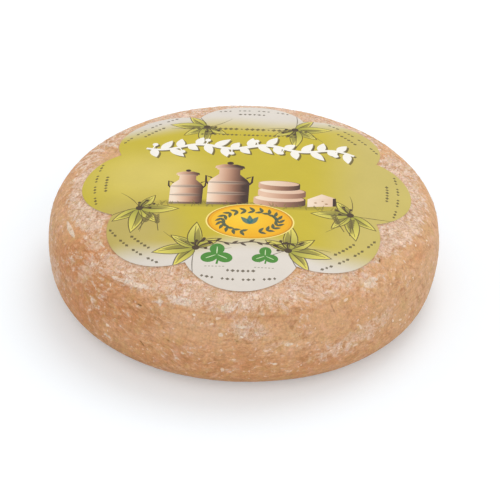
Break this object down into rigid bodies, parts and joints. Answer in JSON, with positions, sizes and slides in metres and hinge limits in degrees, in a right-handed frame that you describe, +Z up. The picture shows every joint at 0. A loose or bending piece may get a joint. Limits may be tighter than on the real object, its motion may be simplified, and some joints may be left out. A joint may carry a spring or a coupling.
{
  "type": "sheep cheese wheel",
  "caption": "Low round wheel of ripened sheep's milk cheese with bulging sides, rounded shoulders and a thin scalloped paper label laid on its slightly domed top.",
  "frame": {"origin": "centre of the flat base, on the surface the wheel stands on", "axes": "+Z up, along the wheel's axis; the label's print is upright when looked at from the -Y side, with +X to the right"},
  "size_m": [0.2, 0.2, 0.0576],
  "materials": {
    "rind": "matte",
    "label_paper": "satin"
  },
  "bodies": {
    "root": {"cheese_wheel": "rind", "label": "label_paper"}
  },
  "joints": []
}
